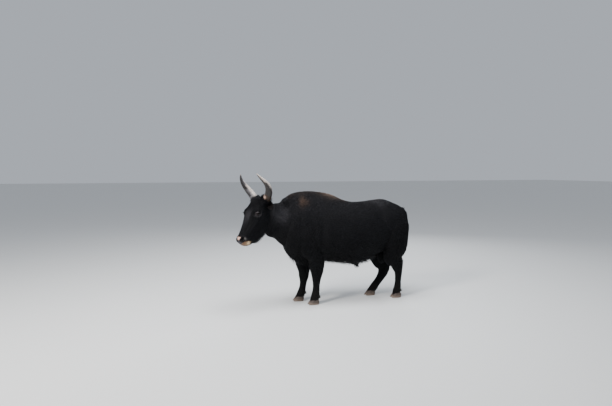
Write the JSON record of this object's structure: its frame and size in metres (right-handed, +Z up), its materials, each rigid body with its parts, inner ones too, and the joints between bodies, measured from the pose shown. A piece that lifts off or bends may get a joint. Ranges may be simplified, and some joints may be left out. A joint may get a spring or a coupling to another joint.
{
  "type": "yak",
  "caption": "Life-size still model of a horned yak bull with a shoulder hump, standing on four feet with its head turned to its left.",
  "frame": {"origin": "on the floor, under the middle of the model's box", "axes": "+X the way the animal's body faces, +Y its left side, +Z up"},
  "size_m": [2.2608, 0.6408, 1.5634],
  "materials": {
    "hide": "short black hair with a dull sheen",
    "horn": "grey-brown horn, pale at the tips, satin",
    "hoof": "worn pinkish-grey hoof horn, matt",
    "eye": "wet, near-black"
  },
  "bodies": {
    "root": {"claw_foreleg_left_inner": "hoof", "claw_foreleg_left_outer": "hoof", "claw_foreleg_right_inner": "hoof", "claw_foreleg_right_outer": "hoof", "claw_hindleg_left_inner": "hoof", "claw_hindleg_left_outer": "hoof", "claw_hindleg_right_inner": "hoof", "claw_hindleg_right_outer": "hoof", "dewclaw_foreleg_left_inner": "hoof", "dewclaw_foreleg_left_outer": "hoof", "dewclaw_foreleg_right_inner": "hoof", "dewclaw_foreleg_right_outer": "hoof", "dewclaw_hindleg_left_inner": "hoof", "dewclaw_hindleg_left_outer": "hoof", "dewclaw_hindleg_right_inner": "hoof", "dewclaw_hindleg_right_outer": "hoof", "ear_left": "hide", "ear_right": "hide", "eye_left": "eye", "eye_right": "eye", "foreleg_left": "hide", "foreleg_right": "hide", "head": "hide", "hindleg_left": "hide", "hindleg_right": "hide", "horn_left": "horn", "horn_right": "horn", "neck": "hide", "tail": "hide", "torso": "hide"}
  },
  "joints": []
}
